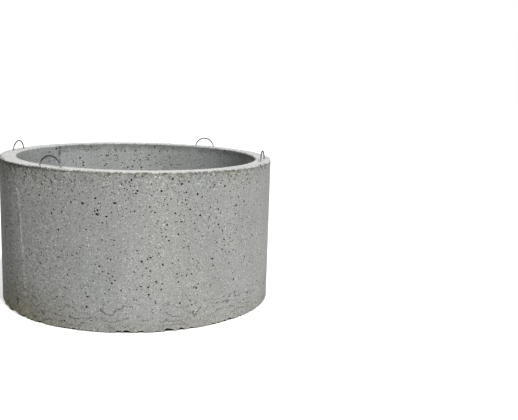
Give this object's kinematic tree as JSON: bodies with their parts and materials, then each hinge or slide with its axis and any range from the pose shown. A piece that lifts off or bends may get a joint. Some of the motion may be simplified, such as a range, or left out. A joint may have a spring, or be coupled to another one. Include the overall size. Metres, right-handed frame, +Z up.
{
  "type": "concrete culvert ring",
  "caption": "Plain cast concrete ring stood on its end, open right through, with bent round-bar lifting loops cast into the upper rim.",
  "frame": {"origin": "centre of the ring's foot, on the floor that it stands on", "axes": "+Z up along the ring's axis; -Y towards the viewer of the picture, +X to the viewer's right"},
  "size_m": [1.7, 1.6996, 0.961],
  "materials": {
    "concrete": "grey cast concrete off a steel mould, with air voids, chipped arrises and damp stains",
    "loop_steel": "plain round bar with dark mill scale and rust"
  },
  "bodies": {
    "root": {"concrete_ring": "concrete", "lifting_loop_1": "loop_steel", "lifting_loop_2": "loop_steel", "lifting_loop_3": "loop_steel", "lifting_loop_4": "loop_steel"}
  },
  "joints": []
}
